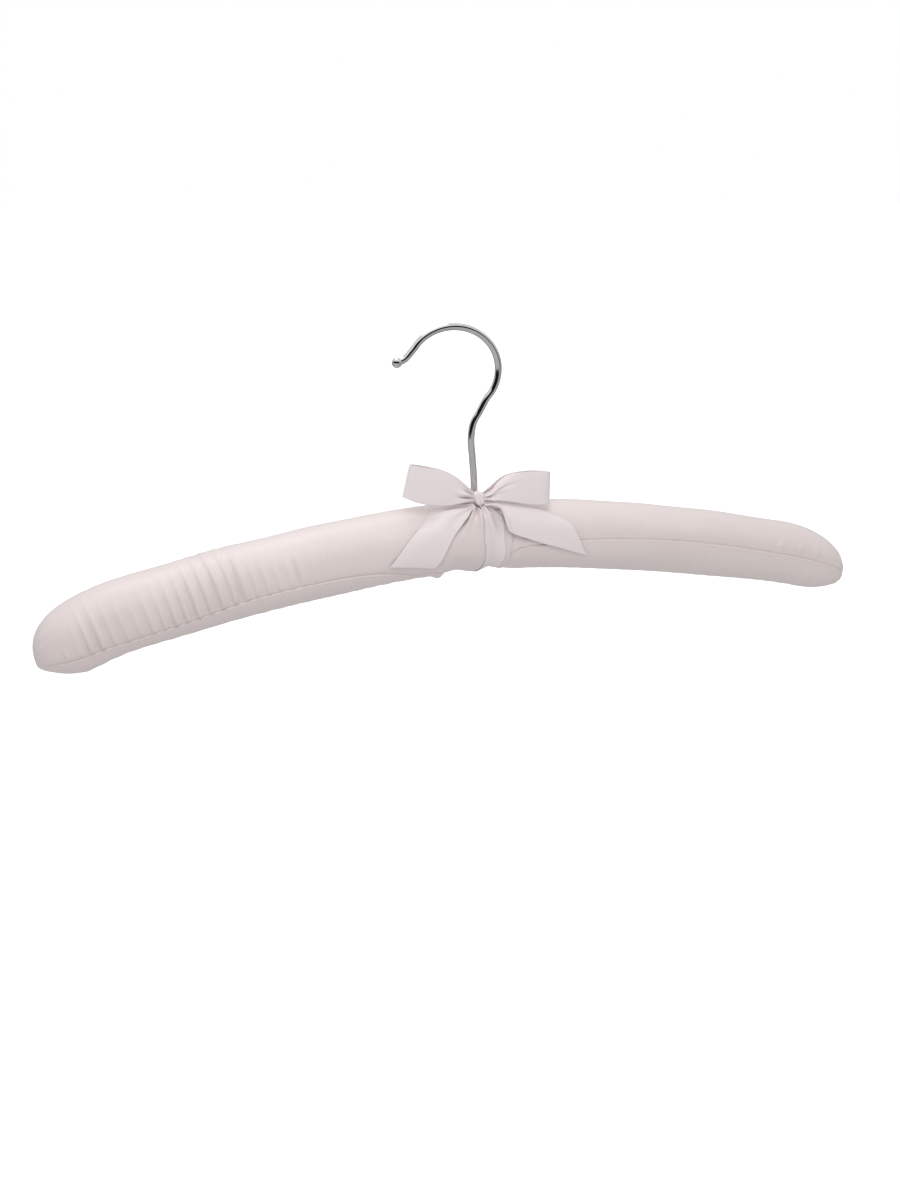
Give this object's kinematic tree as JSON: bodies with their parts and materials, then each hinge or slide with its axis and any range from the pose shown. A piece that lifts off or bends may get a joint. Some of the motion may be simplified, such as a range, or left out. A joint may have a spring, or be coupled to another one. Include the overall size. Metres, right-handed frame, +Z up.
{
  "type": "padded clothes hanger",
  "caption": "Padded satin clothes hanger with curved arms, a swivel wire hook that opens on one side, a gathered centre wrap and a ribbon bow at the hook's base.",
  "frame": {"origin": "highest point inside the hook's crown, where a clothes rail carries the hanger", "axes": "+X along the arms, away from the hook's open side; +Z up; -Y the front, where the bow is"},
  "size_m": [0.3748, 0.0369, 0.1306],
  "materials": {
    "hook_chrome": "bright chrome plate on round steel wire",
    "washer_steel": "plain zinc-plated steel",
    "core_wood": "bare sanded softwood",
    "wadding_fibre": "matte polyester wadding",
    "cover_satin": "glossy satin, very pale pink",
    "ribbon_satin": "glossy satin ribbon, very pale pink"
  },
  "bodies": {
    "hook": {"hook": "hook_chrome"},
    "hanger": {"hook_washer": "washer_steel", "wood_core": "core_wood", "left_wadding": "wadding_fibre", "right_wadding": "wadding_fibre", "left_upper_panel": "cover_satin", "left_lower_panel": "cover_satin", "right_upper_panel": "cover_satin", "right_lower_panel": "cover_satin", "centre_wrap": "cover_satin", "ribbon_band": "ribbon_satin", "bow_knot": "ribbon_satin", "bow_left_loop": "ribbon_satin", "bow_right_loop": "ribbon_satin", "bow_left_tail": "ribbon_satin", "bow_right_tail": "ribbon_satin"}
  },
  "joints": [
    {"name": "hook_swivel", "type": "hinge", "parent": "hook", "child": "hanger", "pos_m": [0.01, 0, -0.087], "axis": [0, 0, 1], "continuous": true}
  ]
}
